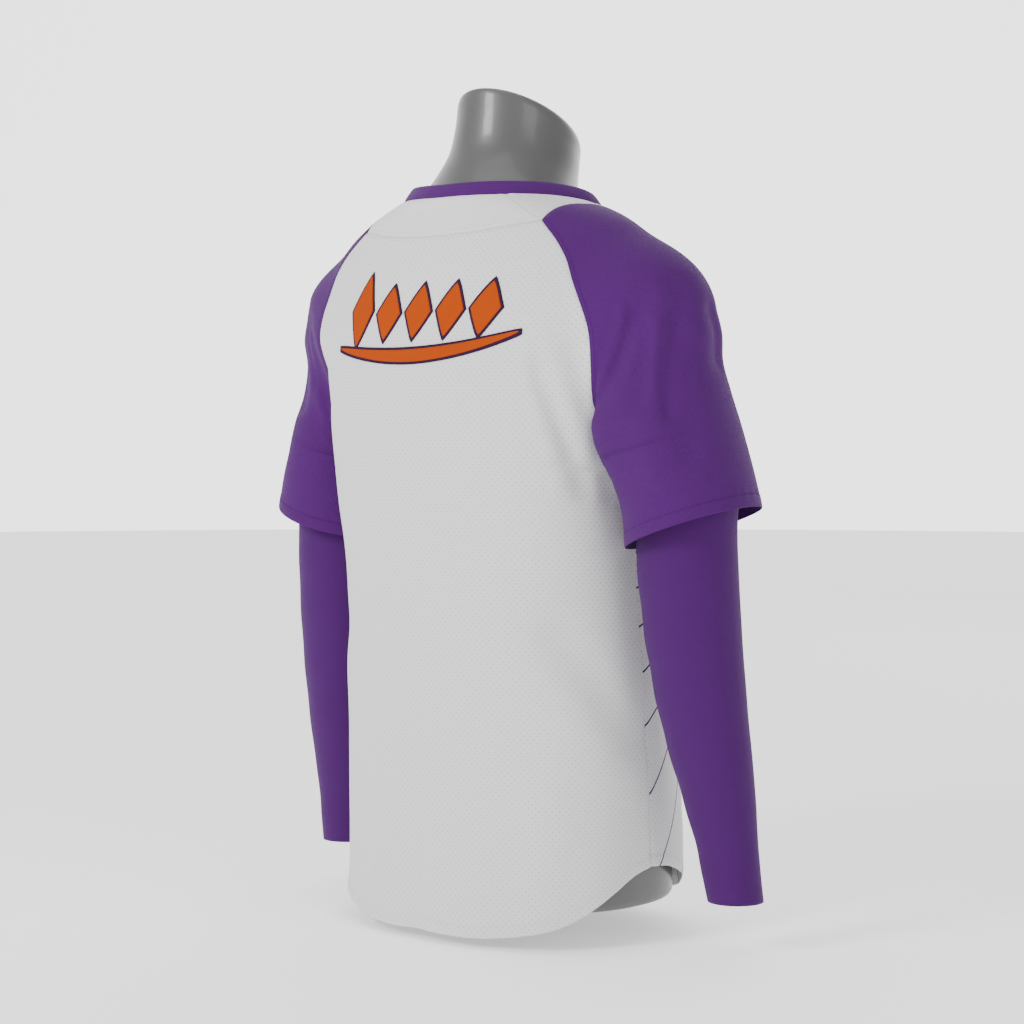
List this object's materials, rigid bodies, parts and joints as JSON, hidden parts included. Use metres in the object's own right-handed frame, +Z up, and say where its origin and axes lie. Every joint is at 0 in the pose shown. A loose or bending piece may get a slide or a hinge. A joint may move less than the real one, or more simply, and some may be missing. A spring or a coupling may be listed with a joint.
{
  "type": "baseball jersey with layered long sleeves, worn by a limbless dress form",
  "caption": "Raglan baseball jersey with button placket, curved hem and layered long sleeves, standing on a limbless dress form.",
  "frame": {"origin": "centre of the flat foot under the dress form", "axes": "+Z up the body, the wearer faces -Y, the back of the jersey is towards +Y and the wearer's left towards +X"},
  "size_m": [0.5898, 0.2941, 0.8266],
  "materials": {
    "white_mesh": "matt",
    "purple_mesh": "matt",
    "purple_knit": "matt",
    "white_button": "satin",
    "form_grey": "gloss"
  },
  "bodies": {
    "root": {"back_panel": "white_mesh", "back_yoke": "white_mesh", "front_left": "white_mesh", "front_right": "white_mesh", "placket": "white_mesh", "button_1": "white_button", "button_2": "white_button", "button_3": "white_button", "button_4": "white_button", "button_5": "white_button", "button_6": "white_button", "button_7": "white_button", "neckband": "purple_mesh", "sleeve_left": "purple_mesh", "sleeve_right": "purple_mesh", "undersleeve_left": "purple_knit", "undersleeve_right": "purple_knit", "dress_form": "form_grey"}
  },
  "joints": []
}
